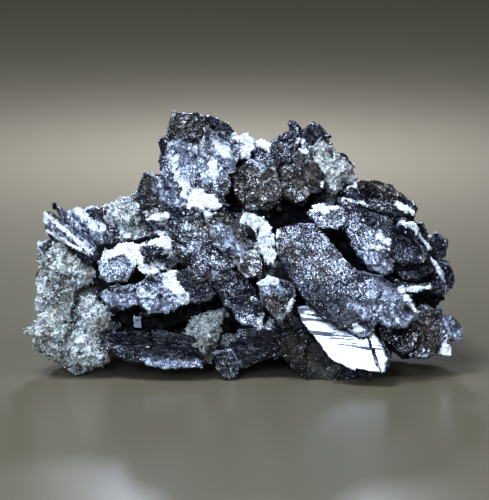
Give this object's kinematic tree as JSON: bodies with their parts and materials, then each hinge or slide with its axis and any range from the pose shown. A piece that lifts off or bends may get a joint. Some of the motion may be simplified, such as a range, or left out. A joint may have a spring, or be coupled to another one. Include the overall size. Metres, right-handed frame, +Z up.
{
  "type": "ferroaxinite mineral specimen",
  "caption": "Free-standing mineral specimen: dark, glossy axe-shaped crystal blades grown together in a peaked cluster on pale, lumpy rock that is flat where it rests.",
  "frame": {"origin": "centre of the bounding box in plan, on the surface that the specimen rests on", "axes": "+X to the right as the specimen is displayed, along its length; +Y from the front to the back; +Z up"},
  "size_m": [0.072, 0.0336, 0.0424],
  "materials": {
    "axinite": "glassy dark clove brown to grey-black, dusted and crusted with fine white grains",
    "rock": "granular, mottled pale grey-green and white"
  },
  "bodies": {
    "root": {"crystals": "axinite", "matrix": "rock"}
  },
  "joints": []
}
